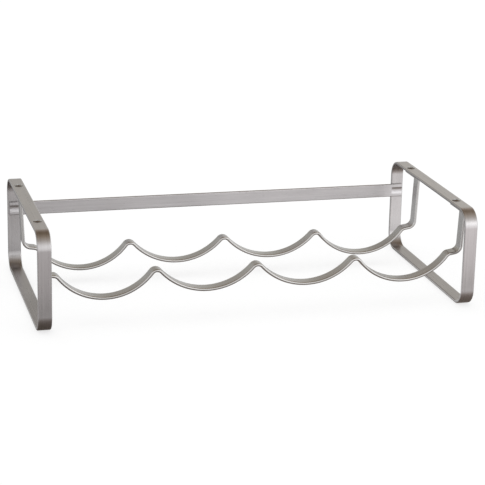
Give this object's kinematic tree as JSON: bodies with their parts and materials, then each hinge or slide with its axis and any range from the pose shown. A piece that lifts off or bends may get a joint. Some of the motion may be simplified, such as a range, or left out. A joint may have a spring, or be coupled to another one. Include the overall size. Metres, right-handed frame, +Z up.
{
  "type": "wine rack",
  "caption": "Low tabletop wine rack of bent flat steel bar: two rounded end frames, a rear rail and two scalloped wave bars that cradle bottles lying side by side.",
  "frame": {"origin": "on the table under the middle of the rack", "axes": "+X along the row of bottles to the right, +Y from front to back towards the rail, +Z up"},
  "size_m": [0.436, 0.222, 0.1001],
  "materials": {
    "end_frame_steel": "satin-brushed along the strip, with brighter rounded edges",
    "wave_bar_steel": "satin-brushed along the strip, with brighter rounded edges",
    "rail_steel": "satin-brushed lengthwise",
    "foot_plate_steel": "plain mill-finish plate",
    "screw_steel": "bright turned steel"
  },
  "bodies": {
    "root": {"left_end_frame": "end_frame_steel", "right_end_frame": "end_frame_steel", "front_wave_bar": "wave_bar_steel", "rear_wave_bar": "wave_bar_steel", "rear_rail": "rail_steel", "left_front_foot_plate": "foot_plate_steel", "right_front_foot_plate": "foot_plate_steel", "left_rear_foot_plate": "foot_plate_steel", "right_rear_foot_plate": "foot_plate_steel", "left_front_top_screw": "screw_steel", "right_front_top_screw": "screw_steel", "left_rear_top_screw": "screw_steel", "right_rear_top_screw": "screw_steel", "left_rail_screw": "screw_steel", "right_rail_screw": "screw_steel"}
  },
  "joints": []
}
